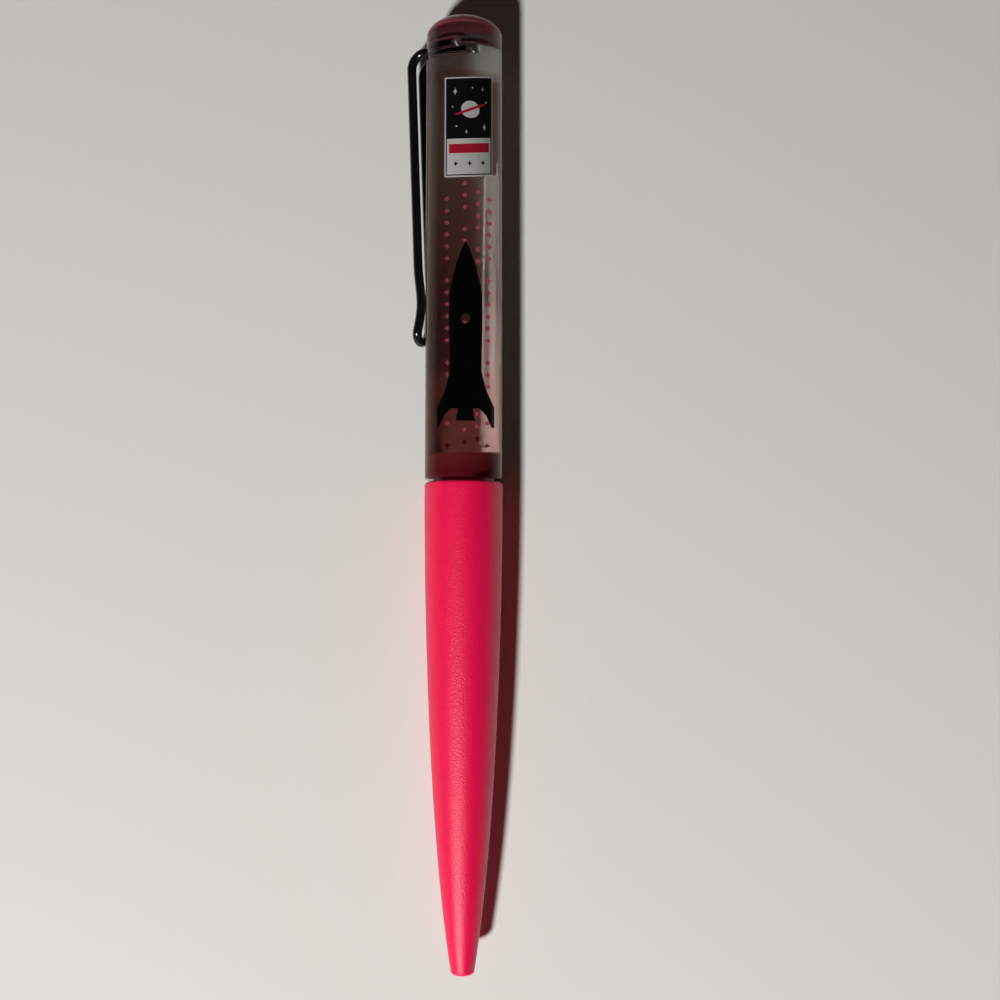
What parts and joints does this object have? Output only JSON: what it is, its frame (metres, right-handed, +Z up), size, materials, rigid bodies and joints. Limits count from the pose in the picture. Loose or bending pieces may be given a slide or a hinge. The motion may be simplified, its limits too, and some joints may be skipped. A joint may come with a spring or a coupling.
{
  "type": "floating figure ballpoint pen",
  "caption": "Slim twist ballpoint pen: a clear oil-filled tube with a drifting figure, domed end and wire pocket clip, above an opaque barrel that tapers to the nose.",
  "frame": {"origin": "middle of the pen's bounding box, on the table it lies on", "axes": "+Y along the pen from the nose to the dome, +Z up, clip towards -X"},
  "size_m": [0.0147, 0.1416, 0.0116],
  "materials": {
    "clear_tube": "clear acrylic, polished",
    "dome_cap": "rose-tinted clear acrylic, polished",
    "clip_plug": "clear acrylic",
    "pocket_clip": "gloss black coat on spring-steel wire",
    "label_panel": "white printed film",
    "scene_film": "clear film with pink print",
    "float_figure": "black film",
    "chamber_plug": "deep rose-tinted clear acrylic",
    "cam_stem": "black acetal",
    "lower_barrel": "satin pink",
    "retaining_ring": "plain steel",
    "guide_sleeve": "grey acetal",
    "cam_follower": "natural acetal",
    "refill_tube": "drawn brass",
    "refill_collar": "turned brass",
    "refill_tip": "nickel silver, turned",
    "writing_ball": "carbide, polished",
    "return_spring": "spring steel"
  },
  "bodies": {
    "upper_barrel": {"clear_tube": "clear_tube", "dome_cap": "dome_cap", "clip_plug": "clip_plug", "label_panel": "label_panel", "scene_film": "scene_film", "chamber_plug": "chamber_plug", "cam_stem": "cam_stem"},
    "clip": {"pocket_clip": "pocket_clip"},
    "figure": {"float_figure": "float_figure"},
    "barrel": {"lower_barrel": "lower_barrel", "retaining_ring": "retaining_ring", "guide_sleeve": "guide_sleeve", "return_spring": "return_spring"},
    "refill": {"cam_follower": "cam_follower", "refill_tube": "refill_tube", "refill_collar": "refill_collar", "refill_tip": "refill_tip"},
    "ball": {"writing_ball": "writing_ball"}
  },
  "joints": [
    {"name": "barrel_twist", "type": "hinge", "parent": "upper_barrel", "child": "barrel", "pos_m": [0.00156, 0, 0.00579], "axis": [0, 1, 0], "range_deg": [0, 180]},
    {"name": "refill_feed", "type": "slide", "parent": "barrel", "child": "refill", "axis": [0, -1, 0], "range_m": [0, 0.0045], "deforming": ["return_spring"]},
    {"name": "figure_float", "type": "slide", "parent": "upper_barrel", "child": "figure", "axis": [0, 1, 0], "range_m": [-0.0041, 0.0269]},
    {"name": "clip_flex", "type": "hinge", "parent": "upper_barrel", "child": "clip", "pos_m": [-0.00115, 0.06645, 0.00451], "axis": [0.4246, 0, -0.9054], "range_deg": [0, 3], "stiffness_Nm_per_rad": 2},
    {"name": "ball_roll", "type": "hinge", "parent": "refill", "child": "ball", "pos_m": [0.00156, -0.06955, 0.00579], "axis": [1, 0, 0], "continuous": true}
  ],
  "couplings": [
    {"joint": "barrel_twist", "follows": "refill_feed", "rad_per_m": 698.13}
  ]
}
